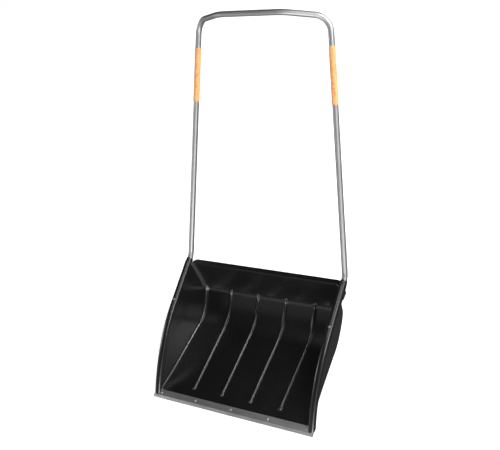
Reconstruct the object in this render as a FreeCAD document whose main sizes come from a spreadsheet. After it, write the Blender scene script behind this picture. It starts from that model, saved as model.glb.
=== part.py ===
import FreeCAD, Part
import os
import math
import Sketcher

# Push snow scoop: a moulded pan with a riveted metal edge, pushed by a bent tube.
# Origin: centre of the flat floor's underside. +X right, +Y towards the handle, +Z up.

DIMENSIONS = {
    # cutting edge
    "edge_width": 720, "edge_front": -190, "edge_bend": -179, "edge_back": -154.5,
    "edge_under_back": -158, "edge_half_flat": 336, "edge_sheet": 1.5, "edge_lift": 1.2,
    "edge_play": 0.5, "lip_inside": 3.2, "lip_step": 0.4,
    "notch_slant": 6, "notch_past": 5, "notch_turn": 14, "notch_front": 1,
    # pan floor and rear wall, seen from the side
    "wall": 4.5, "floor_front": -180, "floor_end": 152, "floor_bend": 200, "floor_turn": 45,
    "heel_bend": 45, "rear_angle": 80, "pan_top": 211.5, "block_top": 260, "hollow_reach": 4,
    # pan, seen from above
    "front_half": 351, "waist_half": 333, "foot_half": 317, "waist_place": -40, "rim_half": 352,
    "plan_top": 260, "plan_reach": 10, "foot_corner": 60, "rim_corner": 26,
    # side rails that hold the tube
    "rail_place": 351.8, "rail_radius": 14.5, "rail_slope": 14.3, "rail_end": 327.5,
    "rail_arc_start": 140, "rail_arc_radius": 700, "rail_turn": 45, "wall_turn": 42,
    # rear rim
    "rim_back": 351.5, "rim_half_width": 345, "rim_front": 300, "rim_sheet": 4,
    "skirt_foot": 152, "rim_round": 28,
    # floor ribs and heel skids
    "rib_count": 4, "rib_pitch": 130, "rib_radius": 4.5, "rib_raise": 0.4, "rib_front": -107,
    "rib_turn": 66, "rib_nose": 5.2, "rib_tip": 5.1,
    "skid_width": 12, "skid_front": 120, "skid_back": 222, "skid_height": 18,
    "skid_round": 14,
    # handle tube
    "tube_radius": 11, "tube_wall": 1.25, "tube_front": 115, "elbow_place": 356.1,
    "shoulder_half": 283.5, "shoulder_back": 972.9, "shoulder_height": 935.5,
    "bow_half": 137, "bow_back": 922.4, "bow_height": 1001.8,
    "elbow_bend": 60, "shoulder_bend": 65, "bow_bend": 110, "tube_gap": 0.1,
    # grips and collars
    "grip_start": 634, "grip_length": 207, "grip_radius": 12.1, "grip_round": 0.8,
    "grip_play": 0.05,
    "collar_length": 16, "collar_radius": 13.9, "collar_round": 1.5, "collar_gap": 0.4,
    # bolts
    "bolt_place": 160, "bolt_height": 174, "bolt_radius": 3, "bolt_hole": 3.3,
    "seat_offset": 12.5, "seat_radius": 7, "head_radius": 6, "head_height": 4.2,
    "washer_radius": 6.5, "washer_sheet": 1.2, "nut_flats": 10, "nut_height": 5,
    "bolt_tail": 2.5, "head_rim": 1,
    # rivets
    "rivet_count": 5, "rivet_pitch": 164, "rivet_place": -167.5, "rivet_radius": 2.4,
    "rivet_head": 4.6, "rivet_dome": 2.2, "rivet_tail": 4, "rivet_foot": 0.1,
    # how far the shapes that are cut away reach past what they cut
    "tool_margin": 40, "tool_depth": 60, "tool_seat": 20,
}

doc = FreeCAD.newDocument("snow_scoop")
sheet = doc.addObject("Spreadsheet::Sheet", "dims")
for row, (alias, number) in enumerate(DIMENSIONS.items(), start=1):
    sheet.set("A%d" % row, alias)
    sheet.set("B%d" % row, str(number))
    sheet.setAlias("B%d" % row, alias)
doc.recompute()

SIDES = {"left": -1, "right": 1}
UP = FreeCAD.Vector(0, 0, 1)


def value(expression):
    """The number a sheet expression stands for."""
    return float(sheet.evalExpression(expression))


def bind(item, **expressions):
    """Tie an object's properties to sheet expressions."""
    for name, expression in expressions.items():
        item.setExpression(name, expression)


def place(item, x="0", y="0", z="0", rotation=None):
    """Put an object at a place given by three sheet expressions."""
    item.Placement = FreeCAD.Placement(FreeCAD.Vector(0, 0, 0), rotation or FreeCAD.Rotation())
    item.setExpression("Placement.Base.x", x)
    item.setExpression("Placement.Base.y", y)
    item.setExpression("Placement.Base.z", z)


def rail_height(y):
    """Height of the rail's straight axis at a place along Y."""
    return "(dims.bolt_height + (%s - dims.bolt_place) * tan(dims.rail_slope))" % y


def rail_direction():
    """Unit vector along a rail's straight part, backwards and up."""
    slope = math.radians(value("dims.rail_slope"))
    return FreeCAD.Vector(0, math.cos(slope), math.sin(slope))


# --- sketch helpers -----------------------------------------------------------------

def sketch_on(body, role, name, offset="0"):
    """A sketch on one of a body's own planes, moved along that plane's normal."""
    sketch = body.newObject("Sketcher::SketchObject", name)
    plane = [f for f in body.Origin.OriginFeatures if f.Role == role][0]
    sketch.AttachmentSupport = [(plane, "")]
    sketch.MapMode = "FlatFace"
    sketch.setExpression("AttachmentOffset.Base.z", offset)
    return sketch


def pin_point(sketch, curve, end, x, y):
    """Fix one end of a curve at a place given by two sheet expressions."""
    for kind, expression in (("DistanceX", x), ("DistanceY", y)):
        index = sketch.addConstraint(
            Sketcher.Constraint(kind, -1, 1, curve, end, value(expression)))
        sketch.setExpression("Constraints[%d]" % index, expression)


def arc_between(start, end, radius, left):
    """The short arc from start to end, with its centre on the left or right of the way."""
    chord = end - start
    across = FreeCAD.Vector(-chord.y, chord.x, 0).normalize() * (1 if left else -1)
    centre = (start + end) * 0.5 + across * math.sqrt(radius ** 2 - (chord.Length / 2) ** 2)
    middle = centre + ((start + end) * 0.5 - centre).normalize() * radius
    return Part.Arc(start, middle, end)


def outline(sketch, corners, arcs=None, closed=True):
    """Lines from corner to corner; arcs = {index: (radius expression, centre on left)}."""
    arcs = arcs or {}
    points = [FreeCAD.Vector(value(x), value(y), 0) for x, y in corners]
    count = len(points) if closed else len(points) - 1
    ends = []
    for index in range(count):
        start = points[index]
        end = points[(index + 1) % len(points)]
        if index in arcs:
            radius, left = arcs[index]
            sketch.addGeometry(arc_between(start, end, value(radius), left))
            # an arc's own start is its end on the clockwise side
            forward = sketch.Geometry[index].StartPoint.isEqual(start, 1e-4)
            ends.append((1, 2) if forward else (2, 1))
            bend = sketch.addConstraint(Sketcher.Constraint("Radius", index, value(radius)))
            sketch.setExpression("Constraints[%d]" % bend, radius)
        else:
            sketch.addGeometry(Part.LineSegment(start, end))
            ends.append((1, 2))
    for index in range(count):
        pin_point(sketch, index, ends[index][0], *corners[index])
        if closed or index + 1 < count:
            following = (index + 1) % count
            sketch.addConstraint(Sketcher.Constraint(
                "Coincident", index, ends[index][1], following, ends[following][0]))
        else:
            pin_point(sketch, index, ends[index][1], *corners[-1])


def circle(sketch, x, y, radius):
    """A circle with its centre and radius given by sheet expressions."""
    index = sketch.addGeometry(
        Part.Circle(FreeCAD.Vector(value(x), value(y), 0), UP, value(radius)))
    pin_point(sketch, index, 3, x, y)
    bend = sketch.addConstraint(Sketcher.Constraint("Radius", index, value(radius)))
    sketch.setExpression("Constraints[%d]" % bend, radius)


# --- feature helpers ----------------------------------------------------------------

def new_body(name):
    """An empty body for sketch-based features."""
    return doc.addObject("PartDesign::Body", name)


def pad(body, sketch, name, length, both_sides=False):
    """Thicken a sketch to one side, or evenly to both."""
    feature = body.newObject("PartDesign::Pad", name)
    feature.Profile = sketch
    feature.Midplane = both_sides
    feature.setExpression("Length", length)
    return feature


def pocket_through(body, sketch, name):
    """Cut a sketch through the whole body, both ways."""
    feature = body.newObject("PartDesign::Pocket", name)
    feature.Profile = sketch
    feature.Type = "ThroughAll"
    feature.Midplane = True
    return feature


def box(name, length, width, height, x, y, z):
    """A block with its sizes and corner given by sheet expressions."""
    item = doc.addObject("Part::Box", name)
    bind(item, Length=length, Width=width, Height=height)
    place(item, x, y, z)
    return item


def cylinder(name, radius, height, x, y, z, rotation=None):
    """A round bar with its sizes and foot given by sheet expressions."""
    item = doc.addObject("Part::Cylinder", name)
    bind(item, Radius=radius, Height=height)
    place(item, x, y, z, rotation)
    return item


def fuse(name, items):
    """Several shapes taken as one."""
    item = doc.addObject("Part::MultiFuse", name)
    item.Shapes = items
    item.Refine = True
    return item


def join(name, base, items):
    """Fuse the items to the base one after another."""
    for number, piece in enumerate(items, start=1):
        item = doc.addObject("Part::Fuse", "%s_%d" % (name, number))
        item.Base = base
        item.Tool = piece
        base = item
    return base


def cut(name, base, tool):
    """The base without what lies inside the tool."""
    item = doc.addObject("Part::Cut", name)
    item.Base = base
    item.Tool = tool
    item.Refine = True
    return item


# --- pan ----------------------------------------------------------------------------

def floor_corners(grow):
    """Side outline of floor and rear wall, moved outwards by the expression grow."""
    first = "(dims.floor_bend + %s)" % grow
    second = "(dims.heel_bend + %s)" % grow
    floor = "(dims.wall - %s)" % grow
    turn_y = "(dims.floor_end + %s * sin(dims.floor_turn))" % first
    turn_z = "(%s + %s * (1 - cos(dims.floor_turn)))" % (floor, first)
    foot_y = "(%s + %s * (sin(dims.rear_angle) - sin(dims.floor_turn)))" % (turn_y, second)
    foot_z = "(%s + %s * (cos(dims.floor_turn) - cos(dims.rear_angle)))" % (turn_z, second)
    top_y = "(%s + (dims.block_top - %s) / tan(dims.rear_angle))" % (foot_y, foot_z)
    front = "(dims.floor_front - (dims.wall - %s) * dims.hollow_reach)" % grow
    corners = [(front, floor), ("dims.floor_end", floor), (turn_y, turn_z), (foot_y, foot_z),
               (top_y, "dims.block_top"), (front, "dims.block_top")]
    arcs = {1: (first, True), 2: (second, True)}
    return corners, arcs


def side_block(name, grow):
    """The pan's side outline, as wide as the pan."""
    body = new_body(name)
    sketch = sketch_on(body, "YZ_Plane", name + "_outline")
    corners, arcs = floor_corners(grow)
    outline(sketch, corners, arcs)
    doc.recompute()
    pad(body, sketch, name + "_pad", "dims.edge_width + dims.tool_margin", both_sides=True)
    return body


def rail_line(turn):
    """The rail's axis seen from the side: where its arc starts and ends."""
    start = "dims.rail_arc_start"
    slope = "dims.rail_slope"
    end = "(%s - dims.rail_arc_radius * (sin(%s) - sin(%s)))" % (start, turn, slope)
    end_z = "(%s - dims.rail_arc_radius * (cos(%s) - cos(%s)))" % (rail_height(start), slope, turn)
    return (start, rail_height(start)), (end, end_z)


def rim_line_tool():
    """Everything above the rail's axis: a straight line that bends down to the front."""
    body = new_body("rim_line_tool")
    sketch = sketch_on(body, "YZ_Plane", "rim_line_outline")
    bend_start, bend_end = rail_line("dims.wall_turn")
    front = "(dims.edge_front - dims.tool_seat)"
    back = "(dims.rim_back + dims.tool_margin)"
    top = "(dims.block_top + dims.tool_seat)"
    corners = [(back, rail_height(back)), bend_start, bend_end, (front, bend_end[1]),
               (front, top), (back, top)]
    outline(sketch, corners, {1: ("dims.rail_arc_radius", True)})
    doc.recompute()
    pad(body, sketch, "rim_line_pad", "dims.edge_width + dims.tool_depth", both_sides=True)
    return body


def plan_wire(body, name, level, grow, foot):
    """One level of the pan seen from above, with rounded rear corners."""
    sketch = sketch_on(body, "XY_Plane", name, level)
    inset = "(dims.wall - %s)" % grow
    front_half = "(dims.%s - %s)" % ("front_half" if foot else "rim_half", inset)
    waist_half = "(dims.%s - %s)" % ("waist_half" if foot else "rim_half", inset)
    back_half = "(dims.%s - %s)" % ("foot_half" if foot else "rim_half", inset)
    radius = "(dims.%s - %s)" % ("foot_corner" if foot else "rim_corner", inset)
    corners, _ = floor_corners(grow)
    foot_y, foot_z = corners[3]
    back = "(%s + (%s - %s) / tan(dims.rear_angle))" % (foot_y, level, foot_z)
    front = "(dims.edge_front - dims.plan_reach)"
    turn_in = "(%s - %s)" % (back_half, radius)
    turn_back = "(%s - %s)" % (back, radius)
    right = [(front_half, front), (waist_half, "dims.waist_place"), (back_half, turn_back),
             (turn_in, back)]
    left = [("-" + x, y) for x, y in reversed(right)]
    outline(sketch, right + left, {2: (radius, True), 4: (radius, True)})
    return sketch


def plan_block(name, grow):
    """Floor outline lofted up to the rim outline: the leaning side walls."""
    body = new_body(name)
    low = plan_wire(body, name + "_foot", "0", grow, True)
    high = plan_wire(body, name + "_rim", "dims.plan_top", grow, False)
    doc.recompute()
    loft = body.newObject("PartDesign::AdditiveLoft", name + "_loft")
    loft.Profile = low
    loft.Sections = [high]
    loft.Ruled = True
    return body


def common(name, first, second):
    """What two shapes share."""
    item = doc.addObject("Part::MultiCommon", name)
    item.Shapes = [first, second]
    return item


def path_on_side(name, x, corners, arcs):
    """A path in a plane across X, for a rail or a rib to follow."""
    body = new_body(name + "_body")
    sketch = sketch_on(body, "YZ_Plane", name, x)
    outline(sketch, corners, arcs, closed=False)
    doc.recompute()
    return body, sketch


def pipe(body, path, name, radius):
    """A round bar along a path drawn in a sketch."""
    section = body.newObject("Sketcher::SketchObject", name + "_section")
    section.AttachmentSupport = [(path, "Edge1")]
    section.MapMode = "NormalToEdge"
    section.MapPathParameter = 0
    circle(section, "0", "0", radius)
    doc.recompute()
    sweep = body.newObject("PartDesign::AdditivePipe", name + "_pipe")
    sweep.Profile = section
    sweep.Spine = (path, ["Edge%d" % (i + 1) for i in range(len(path.Geometry))])
    return sweep


def rail(side, sign):
    """Round rail along the top of a side wall, straight and then bent down to the front."""
    corners = [("dims.rail_end", rail_height("dims.rail_end"))] + list(rail_line("dims.rail_turn"))
    body, path = path_on_side("rail_path_" + side, "%d * dims.rail_place" % sign, corners,
                              {1: ("dims.rail_arc_radius", True)})
    pipe(body, path, "rail_" + side, "dims.rail_radius")
    return body


def rib(number):
    """Rounded rib on the floor, following it up into the rear bend."""
    x = "(dims.rib_pitch * (%d - (dims.rib_count - 1) / 2))" % number
    shrink = "(0 - dims.rib_raise)"
    corners, arcs = floor_corners(shrink)
    second = arcs[2][0]
    turn_y, turn_z = corners[2]
    last_y = "(%s + %s * (sin(dims.rib_turn) - sin(dims.floor_turn)))" % (turn_y, second)
    last_z = "(%s + %s * (cos(dims.floor_turn) - cos(dims.rib_turn)))" % (turn_z, second)
    lift = "(dims.wall + dims.rib_raise)"
    corners = [("dims.rib_front", lift), ("dims.floor_end", lift), (turn_y, turn_z),
               (last_y, last_z)]
    body, path = path_on_side("rib_path_%d" % (number + 1), x, corners,
                              {1: arcs[1], 2: (second, True)})
    pipe(body, path, "rib_%d" % (number + 1), "dims.rib_radius - dims.rib_raise / 2")
    ends = []
    for name, y, z in (("nose", "dims.rib_front", lift), ("tip", last_y, last_z)):
        ball = doc.addObject("Part::Sphere", "rib_%s_%d" % (name, number + 1))
        bind(ball, Radius="dims.rib_" + name)
        place(ball, x, y, z)
        ends.append(ball)
    return [body] + ends


def skid(number):
    """Keel under a rib's rear bend: it carries the flat floor on towards the heel."""
    x = "(dims.rib_pitch * (%d - (dims.rib_count - 1) / 2))" % number
    body = new_body("skid_%d" % (number + 1))
    sketch = sketch_on(body, "YZ_Plane", "skid_outline_%d" % (number + 1), x)
    round_y = "(dims.skid_back - dims.skid_round)"
    corners = [("dims.skid_front", "0"), (round_y, "0"), ("dims.skid_back", "dims.skid_round"),
               ("dims.skid_back", "dims.skid_height"), ("dims.skid_front", "dims.skid_height")]
    outline(sketch, corners, {1: ("dims.skid_round", True)})
    doc.recompute()
    pad(body, sketch, "skid_pad_%d" % (number + 1), "dims.skid_width", both_sides=True)
    return body


def rim_plan(inset):
    """The rim's outline seen from above, moved in by an inset, with its two corner arcs."""
    half = "(dims.rim_half_width - %s)" % inset
    back = "(dims.rim_back - %s)" % inset
    turn_x = "(dims.rim_half_width - dims.rim_round)"
    turn_y = "(dims.rim_back - dims.rim_round)"
    right = [(half, "dims.rim_front"), (half, turn_y), (turn_x, back)]
    return right + [("-" + x, y) for x, y in reversed(right)]


def rear_rim(inner):
    """Flat rim behind the rear wall, with a skirt hanging from its back and side edges."""
    body = new_body("rear_rim")
    outer_arc = ("dims.rim_round", True)
    inner_arc = ("(dims.rim_round - dims.rim_sheet)", True)
    plan = sketch_on(body, "XY_Plane", "rear_rim_plan", "dims.pan_top - dims.rim_sheet")
    outline(plan, rim_plan("0"), {1: outer_arc, 3: outer_arc})
    doc.recompute()
    pad(body, plan, "rear_rim_plate", "dims.rim_sheet")
    doc.recompute()
    skirt = new_body("rear_skirt")
    block = sketch_on(skirt, "XY_Plane", "rear_skirt_plan", "dims.skirt_foot")
    outline(block, rim_plan("0"), {1: outer_arc, 3: outer_arc})
    doc.recompute()
    pad(skirt, block, "rear_skirt_block", "dims.pan_top - dims.rim_sheet - dims.skirt_foot")
    space = new_body("rear_skirt_space")
    inside = sketch_on(space, "XY_Plane", "rear_skirt_inside", "dims.skirt_foot - dims.rim_sheet")
    corners = rim_plan("dims.rim_sheet")
    deep = "(dims.rim_front - dims.rim_sheet)"
    corners[0] = (corners[0][0], deep)
    corners[-1] = (corners[-1][0], deep)
    outline(inside, corners, {1: inner_arc, 3: inner_arc})
    doc.recompute()
    pad(space, inside, "rear_skirt_pocket", "dims.pan_top - dims.skirt_foot")
    hanging = cut("rear_skirt_wall", skirt, space)
    rim = join("rear_rim_whole", body, [hanging])
    return cut("rear_rim_trimmed", rim, inner)


def rail_bore(side, sign):
    """Straight round space for the tube along a rail's axis, open at the back."""
    length = "(dims.rail_end + dims.tool_depth - dims.tube_front) / cos(dims.rail_slope)"
    return cylinder("rail_bore_" + side, "dims.tube_radius + dims.tube_gap", length,
                    "%d * dims.rail_place" % sign, "dims.tube_front",
                    rail_height("dims.tube_front"), FreeCAD.Rotation(UP, rail_direction()))


def collar_space(side, sign):
    """Round space behind a rail's end, where the collar sits."""
    return cylinder("collar_space_" + side, "dims.collar_radius + dims.collar_gap",
                    "dims.collar_length + dims.tool_depth / 2", "%d * dims.rail_place" % sign,
                    "dims.rail_end", rail_height("dims.rail_end"),
                    FreeCAD.Rotation(UP, rail_direction()))


def bolt_tools(side, sign):
    """Through hole for the bolt, and the flat seats for its washers."""
    x = "%d * dims.rail_place" % sign
    y = "dims.bolt_place"
    hole = cylinder("bolt_hole_" + side, "dims.bolt_hole", "2 * dims.tool_margin", x, y,
                    "dims.bolt_height - dims.tool_margin")
    top = cylinder("seat_top_" + side, "dims.seat_radius", "dims.tool_seat", x, y,
                   "dims.bolt_height + dims.seat_offset")
    foot = cylinder("seat_foot_" + side, "dims.seat_radius", "dims.tool_seat", x, y,
                    "dims.bolt_height - dims.seat_offset - dims.tool_seat")
    return [hole, top, foot]


def rivet_x(number):
    """Place of a rivet along X."""
    return "(dims.rivet_pitch * (%d - (dims.rivet_count - 1) / 2))" % number


def front_tools():
    """Blocks that level the pan's underside and front and make room for the folded sheet."""
    width = "(dims.edge_width + 2 * dims.tool_margin)"
    left = "-dims.edge_width / 2 - dims.tool_margin"
    front = "(dims.edge_front - dims.tool_margin)"
    below = box("below_floor", width, "dims.rim_back - %s + dims.tool_margin" % front,
                "dims.tool_depth", left, front, "-dims.tool_depth")
    under = box("under_edge", width, "dims.edge_under_back + dims.edge_play - %s" % front,
                "dims.edge_lift + dims.edge_sheet + dims.tool_depth", left, front,
                "-dims.tool_depth")
    trim = box("front_trim", width, "dims.tool_margin", "2 * dims.tool_depth", left,
               "dims.floor_front - dims.tool_margin", "-dims.tool_seat")
    return [below, under, trim]


def pan_shell(ribs):
    """Floor, side walls and rear wall with the skids below, cut off along the rim."""
    outer = common("pan_outer", side_block("side_outer", "dims.wall"),
                   plan_block("plan_outer", "dims.wall"))
    inner = common("pan_inner", side_block("side_inner", "0"), plan_block("plan_inner", "0"))
    with_skids = join("pan_skids", outer, [skid(number) for number in ribs])
    hollow = cut("pan_hollow", with_skids, inner)
    lowered = cut("pan_rim_line", hollow, rim_line_tool())
    level = box("rear_level", "2 * dims.rim_half", "4 * dims.tool_margin",
                "2 * dims.tool_margin", "-dims.rim_half", "dims.rim_back - 2 * dims.tool_margin",
                "dims.pan_top")
    return cut("pan_shell", lowered, level), inner


def make_pan(edge):
    """The moulded pan, with room for the sheet, tube, collars, bolts and rivets."""
    ribs = range(int(value("dims.rib_count")))
    shell, inner = pan_shell(ribs)
    parts = [rail(side, sign) for side, sign in SIDES.items()]
    for number in ribs:
        parts += rib(number)
    joined = join("pan_joined", shell, parts + [rear_rim(inner)])
    tools = front_tools()
    for side, sign in SIDES.items():
        tools += [rail_bore(side, sign), collar_space(side, sign)]
        tools += bolt_tools(side, sign)
    for number in range(int(value("dims.rivet_count"))):
        tools.append(cylinder("pan_rivet_hole_%d" % (number + 1), "dims.rivet_radius",
                              "2 * dims.tool_seat", rivet_x(number), "dims.rivet_place",
                              "-dims.tool_seat"))
    trimmed = cut("pan_trimmed", joined, fuse("pan_tools", tools))
    return cut("pan", trimmed, edge)


# --- cutting edge and rivets --------------------------------------------------------

def make_edge():
    """Sheet folded round the pan's front: flat on the floor, sloping lip, return underneath."""
    body = new_body("cutting_edge")
    sketch = sketch_on(body, "YZ_Plane", "edge_outline")
    top = "(dims.wall + dims.edge_sheet)"
    low = "dims.edge_lift"
    inside = "(dims.edge_lift + dims.edge_sheet)"
    corners = [("dims.edge_back", "dims.wall"), ("dims.edge_back", top), ("dims.edge_bend", top),
               ("dims.edge_front", inside), ("dims.edge_front", low),
               ("dims.edge_under_back", low), ("dims.edge_under_back", inside),
               ("dims.edge_front + dims.lip_inside", inside),
               ("dims.edge_bend - dims.lip_step", "dims.wall")]
    outline(sketch, corners)
    doc.recompute()
    pad(body, sketch, "edge_sheet_pad", "dims.edge_width", both_sides=True)
    doc.recompute()
    notch = sketch_on(body, "XY_Plane", "edge_notch_outline")
    half = "dims.edge_half_flat"
    slant = "(dims.edge_width / 2 - dims.notch_slant)"
    side = "dims.edge_width / 2 + dims.notch_past"
    back = "dims.edge_back + dims.notch_past"
    front = "dims.edge_bend + dims.notch_front"
    for sign in ("", "-"):
        start = len(notch.Geometry)
        loop = [(half, back), (half, "dims.edge_bend + dims.notch_turn"), (slant, front),
                (side, front), (side, back)]
        closed_loop(notch, [("%s(%s)" % (sign, x), y) for x, y in loop], start)
    doc.recompute()
    pocket_through(body, notch, "edge_notches")
    doc.recompute()
    holes = sketch_on(body, "XY_Plane", "edge_hole_plan")
    for number in range(int(value("dims.rivet_count"))):
        circle(holes, rivet_x(number), "dims.rivet_place", "dims.rivet_radius")
    doc.recompute()
    pocket_through(body, holes, "edge_holes")
    return body


def closed_loop(sketch, corners, start):
    """A closed run of lines in a sketch that may already hold others."""
    points = [FreeCAD.Vector(value(x), value(y), 0) for x, y in corners]
    for index, point in enumerate(points):
        sketch.addGeometry(Part.LineSegment(point, points[(index + 1) % len(points)]))
    for index, corner in enumerate(corners):
        pin_point(sketch, start + index, 1, *corner)
        following = start + (index + 1) % len(points)
        sketch.addConstraint(Sketcher.Constraint("Coincident", start + index, 2, following, 1))


def revolved(body, name, corners, arcs=None):
    """Half outline in the XZ plane turned round the body's Z axis."""
    sketch = sketch_on(body, "XZ_Plane", name + "_outline")
    outline(sketch, corners, arcs)
    doc.recompute()
    feature = body.newObject("PartDesign::Revolution", name + "_turn")
    feature.Profile = sketch
    feature.ReferenceAxis = (sketch, ["V_Axis"])
    feature.Angle = 360
    return feature


def make_rivet(number):
    """Domed rivet through sheet and floor, spread on the underside."""
    body = new_body("edge_rivet_%d" % (number + 1))
    seat = "(dims.wall + dims.edge_sheet)"
    top = "(%s + dims.rivet_dome)" % seat
    dome = "((dims.rivet_head ^ 2 + dims.rivet_dome ^ 2) / (2 * dims.rivet_dome))"
    corners = [("0", "dims.rivet_foot"), ("dims.rivet_tail", "dims.rivet_foot"),
               ("dims.rivet_tail", "dims.edge_lift"), ("dims.rivet_radius", "dims.edge_lift"),
               ("dims.rivet_radius", seat), ("dims.rivet_head", seat), ("0", top)]
    revolved(body, "rivet_%d" % (number + 1), corners, {5: (dome, True)})
    place(body, rivet_x(number), "dims.rivet_place", "0")
    return body


# --- handle tube --------------------------------------------------------------------

def handle_corners():
    """Corner points of the handle's centre line, from the left front end to the right."""
    half = [("dims.rail_place", "dims.tube_front", rail_height("dims.tube_front")),
            ("dims.rail_place", "dims.elbow_place", rail_height("dims.elbow_place")),
            ("dims.shoulder_half", "dims.shoulder_back", "dims.shoulder_height"),
            ("dims.bow_half", "dims.bow_back", "dims.bow_height")]
    right = [FreeCAD.Vector(value(x), value(y), value(z)) for x, y, z in half]
    left = [FreeCAD.Vector(-p.x, p.y, p.z) for p in right]
    return left + right[::-1]


def rounded_path(points, radii):
    """Straight runs joined by tangent arcs, one radius for each inner point."""
    edges = []
    here = points[0]
    for before, corner, after, radius in zip(points, points[1:], points[2:], radii):
        into = (corner - before).normalize()
        out = (after - corner).normalize()
        turn = into.getAngle(out)
        reach = radius * math.tan(turn / 2)
        begin = corner - into * reach
        finish = corner + out * reach
        inward = (out - into).normalize()
        middle = corner + inward * (radius / math.cos(turn / 2) - radius)
        edges.append(Part.makeLine(here, begin))
        edges.append(Part.Arc(begin, middle, finish).toShape())
        here = finish
    edges.append(Part.makeLine(here, points[-1]))
    return Part.Wire(edges)


def tube_run(name, path, radius):
    """A round bar of the given radius along the handle's path."""
    points = handle_corners()
    along = (points[1] - points[0]).normalize()
    ring = doc.addObject("Part::Circle", name + "_ring")
    bind(ring, Radius=radius)
    ring.Placement = FreeCAD.Placement(points[0], FreeCAD.Rotation(UP, along))
    sweep = doc.addObject("Part::Sweep", name)
    sweep.Sections = [ring]
    sweep.Spine = (path, ["Edge%d" % (i + 1) for i in range(len(path.Shape.Edges))])
    sweep.Solid = True
    sweep.Frenet = False
    return sweep


def make_handle():
    """The bent tube: two legs, two shoulders and the bow, with its bolt holes."""
    path = doc.addObject("Part::Feature", "handle_path")
    bends = [value("dims.elbow_bend"), value("dims.shoulder_bend"), value("dims.bow_bend")]
    path.Shape = rounded_path(handle_corners(), bends + bends[::-1])
    path.Placement = FreeCAD.Placement()
    bar = tube_run("handle_bar", path, "dims.tube_radius")
    space = tube_run("handle_space", path, "dims.tube_radius - dims.tube_wall")
    hollow = cut("handle_hollow", bar, space)
    holes = [cylinder("handle_hole_" + side, "dims.bolt_hole", "2 * dims.tool_margin",
                      "%d * dims.rail_place" % sign, "dims.bolt_place",
                      "dims.bolt_height - dims.tool_margin")
             for side, sign in SIDES.items()]
    return cut("handle_tube", hollow, fuse("handle_holes", holes))


def leg_frame(sign):
    """Lower corner of a leg and the direction in which the leg climbs."""
    points = handle_corners()
    low, high = (points[1], points[2]) if sign < 0 else (points[-2], points[-3])
    return low, (high - low).normalize()


def sleeve(name, inner, outer, length, rounding, base, along):
    """A round sleeve with softened outer edges, set on a sloping axis."""
    body = new_body(name)
    corners = [(inner, "0"), ("%s - %s" % (outer, rounding), "0"), (outer, rounding),
               (outer, "%s - %s" % (length, rounding)), ("%s - %s" % (outer, rounding), length),
               (inner, length)]
    revolved(body, name, corners, {1: (rounding, True), 3: (rounding, True)})
    body.Placement = FreeCAD.Placement(base, FreeCAD.Rotation(UP, along))
    return body


def make_grip(side, sign):
    """Sleeve on the upper part of a leg."""
    low, along = leg_frame(sign)
    return sleeve("grip_" + side, "(dims.tube_radius + dims.grip_play)", "dims.grip_radius",
                  "dims.grip_length", "dims.grip_round",
                  low + along * value("dims.grip_start"), along)


def make_collar(side, sign):
    """Ring round the tube behind a rail's end."""
    base = FreeCAD.Vector(sign * value("dims.rail_place"), value("dims.rail_end"),
                          value(rail_height("dims.rail_end")))
    return sleeve("collar_" + side, "(dims.tube_radius + dims.tube_gap)", "dims.collar_radius",
                  "dims.collar_length", "dims.collar_round", base, rail_direction())


# --- bolts --------------------------------------------------------------------------

def make_bolt(side, sign):
    """Domed bolt, down through rail and tube."""
    body = new_body("bolt_" + side)
    seat = "(dims.seat_offset + dims.washer_sheet)"
    foot = "(0 - dims.seat_offset - dims.washer_sheet - dims.nut_height - dims.bolt_tail)"
    head_foot = "(%s + dims.head_rim)" % seat
    dome_rise = "(dims.head_height - dims.head_rim)"
    dome = "((dims.head_radius ^ 2 + %s ^ 2) / (2 * %s))" % (dome_rise, dome_rise)
    corners = [("0", foot), ("dims.bolt_radius", foot), ("dims.bolt_radius", seat),
               ("dims.head_radius", seat), ("dims.head_radius", head_foot),
               ("0", "%s + dims.head_height" % seat)]
    revolved(body, "bolt_" + side, corners, {4: (dome, True)})
    place(body, "%d * dims.rail_place" % sign, "dims.bolt_place", "dims.bolt_height")
    return body


def make_washer(side, sign, name, level):
    """Flat ring round a bolt, at a height given by a sheet expression."""
    body = new_body("washer_%s_%s" % (name, side))
    corners = [("dims.bolt_hole", "0"), ("dims.washer_radius", "0"),
               ("dims.washer_radius", "dims.washer_sheet"), ("dims.bolt_hole", "dims.washer_sheet")]
    revolved(body, "washer_%s_%s" % (name, side), corners)
    place(body, "%d * dims.rail_place" % sign, "dims.bolt_place", level)
    return body


def make_nut(side, sign):
    """Hexagon nut: each corner lies half the flats' width over cos 30 from the axis."""
    body = new_body("nut_" + side)
    sketch = sketch_on(body, "XY_Plane", "nut_outline_" + side)
    reach = "(dims.nut_flats / 2 / cos(30))"
    corners = [("%s * cos(%d)" % (reach, 60 * i), "%s * sin(%d)" % (reach, 60 * i))
               for i in range(6)]
    outline(sketch, corners)
    circle(sketch, "0", "0", "dims.bolt_radius")
    doc.recompute()
    pad(body, sketch, "nut_pad_" + side, "dims.nut_height")
    place(body, "%d * dims.rail_place" % sign, "dims.bolt_place",
          "dims.bolt_height - dims.seat_offset - dims.washer_sheet - dims.nut_height")
    return body


# --- whole scoop --------------------------------------------------------------------

def make_all():
    """Every separate piece of the scoop."""
    edge = make_edge()
    nodes = [edge, make_pan(edge), make_handle()]
    for side, sign in SIDES.items():
        nodes.append(make_grip(side, sign))
        nodes.append(make_collar(side, sign))
        nodes.append(make_bolt(side, sign))
        nodes.append(make_nut(side, sign))
        nodes.append(make_washer(side, sign, "top", "dims.bolt_height + dims.seat_offset"))
        nodes.append(make_washer(side, sign, "foot",
                                 "dims.bolt_height - dims.seat_offset - dims.washer_sheet"))
    nodes += [make_rivet(i) for i in range(int(value("dims.rivet_count")))]
    return nodes


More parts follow.
